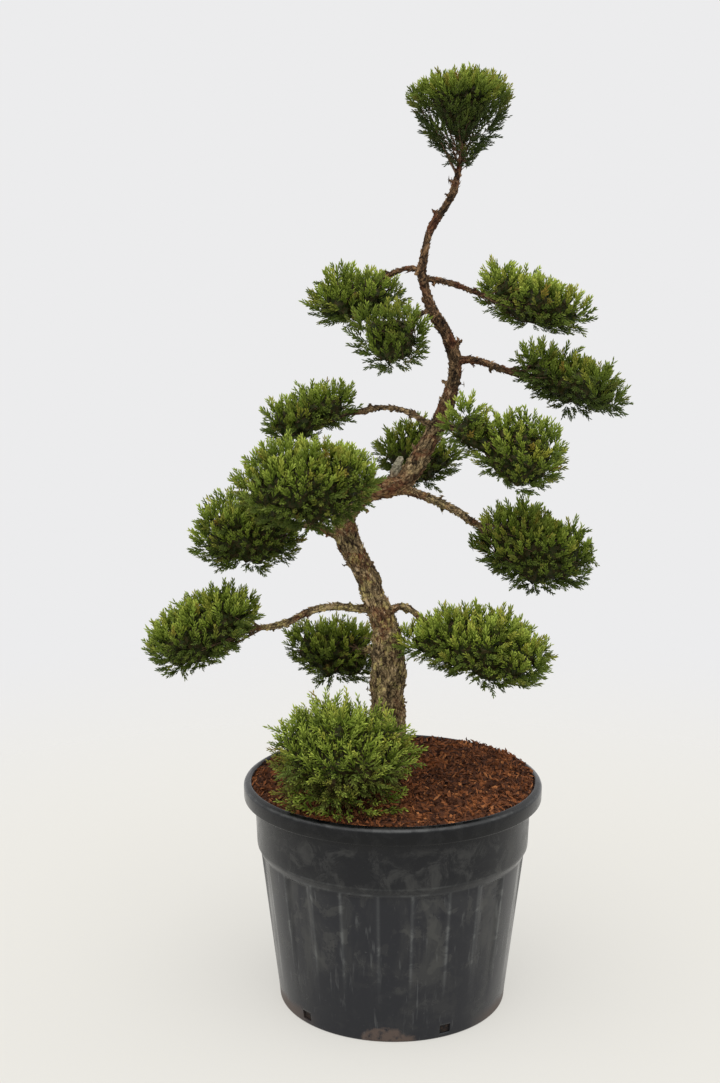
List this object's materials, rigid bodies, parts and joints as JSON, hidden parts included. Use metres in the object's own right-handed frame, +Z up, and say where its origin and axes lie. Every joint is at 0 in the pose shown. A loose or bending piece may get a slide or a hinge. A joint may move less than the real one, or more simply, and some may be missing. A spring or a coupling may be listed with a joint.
{
  "type": "potted savin juniper bonsai",
  "caption": "Tall juniper trained as a cloud-pruned bonsai, with a curved trunk and foliage pads on bare branches, in a round plastic pot of soil.",
  "frame": {"origin": "centre of the pot's flat underside, on the surface that it stands on", "axes": "+Z up along the pot's axis; the front, as pictured, is -Y and +X is to its right"},
  "size_m": [0.9622, 0.5978, 1.8415],
  "materials": {
    "plastic": "dark grey moulded plastic, scuffed and dusty",
    "soil": "damp peat and roots",
    "mulch": "shredded red-brown bark",
    "wood": "flaking grey-brown bark with ochre lichen",
    "foliage": "soft scale-leaved sprays, yellow-green at the tips"
  },
  "bodies": {
    "root": {"pot": "plastic", "potting_soil": "soil", "bark_mulch": "mulch", "trunk": "wood", "foliage_crown": "foliage", "foliage_upper_left": "foliage", "foliage_upper_left_low": "foliage", "foliage_upper_right": "foliage", "foliage_middle_right": "foliage", "foliage_middle_left": "foliage", "foliage_front": "foliage", "foliage_back": "foliage", "foliage_large_left": "foliage", "foliage_large_left_low": "foliage", "foliage_right": "foliage", "foliage_lower_left": "foliage", "foliage_lower_back": "foliage", "foliage_lower_right": "foliage", "foliage_bottom": "foliage"}
  },
  "joints": []
}
